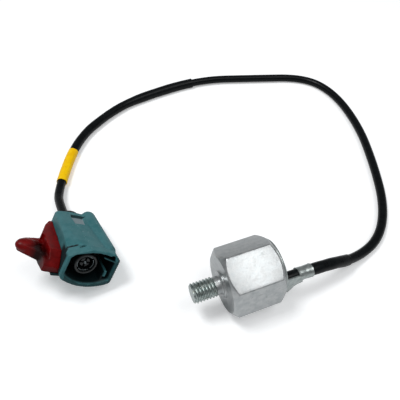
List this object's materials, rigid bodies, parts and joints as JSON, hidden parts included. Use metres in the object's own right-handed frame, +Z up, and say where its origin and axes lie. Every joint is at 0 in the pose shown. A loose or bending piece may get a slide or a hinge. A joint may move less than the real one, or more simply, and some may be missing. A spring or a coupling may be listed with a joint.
{
  "type": "engine knock sensor",
  "caption": "Hexagonal screw-in engine knock sensor with a threaded stud, a clamped cable and a sealed plug connector with a side lock.",
  "frame": {"origin": "bottom centre of the sensor body, stud, cover and clamp on the surface that they lie on; the cable and its plug are left out", "axes": "+X along the sensor's own axis from the stud to the cable, +Z up, +Y across the sensor towards the cable's loop"},
  "size_m": [0.1814, 0.1509, 0.0276],
  "materials": {
    "zinc_plated_steel": "zinc plated, satin, slightly mottled",
    "spring_steel": "bright",
    "ceramic": "matt",
    "contact_metal": "tinned",
    "insulating_resin": "matt",
    "seal_rubber": "matt",
    "cable_rubber": "satin",
    "tape": "satin",
    "plug_plastic": "satin, dusty",
    "carrier_plastic": "satin",
    "lock_plastic": "satin"
  },
  "bodies": {
    "root": {"sensor_housing": "zinc_plated_steel", "vibration_plate": "spring_steel", "piezo_disc": "ceramic", "contact_lead": "contact_metal", "terminal_base": "insulating_resin", "terminal_pin": "contact_metal", "base_seal_ring": "seal_rubber", "load_resistor": "ceramic", "potting": "insulating_resin", "rear_cover": "zinc_plated_steel", "wire_grommet": "seal_rubber", "signal_wire": "cable_rubber", "cable": "cable_rubber", "clamp_sleeve": "cable_rubber", "plug_sleeve": "cable_rubber", "tape_band": "tape", "plug_housing": "plug_plastic", "contact_carrier": "carrier_plastic", "contact_shell": "contact_metal", "contact_insulator": "insulating_resin", "centre_contact": "contact_metal", "hood_seal": "seal_rubber", "rear_seal": "seal_rubber", "rear_cap": "carrier_plastic", "side_lock": "lock_plastic"}
  },
  "joints": []
}
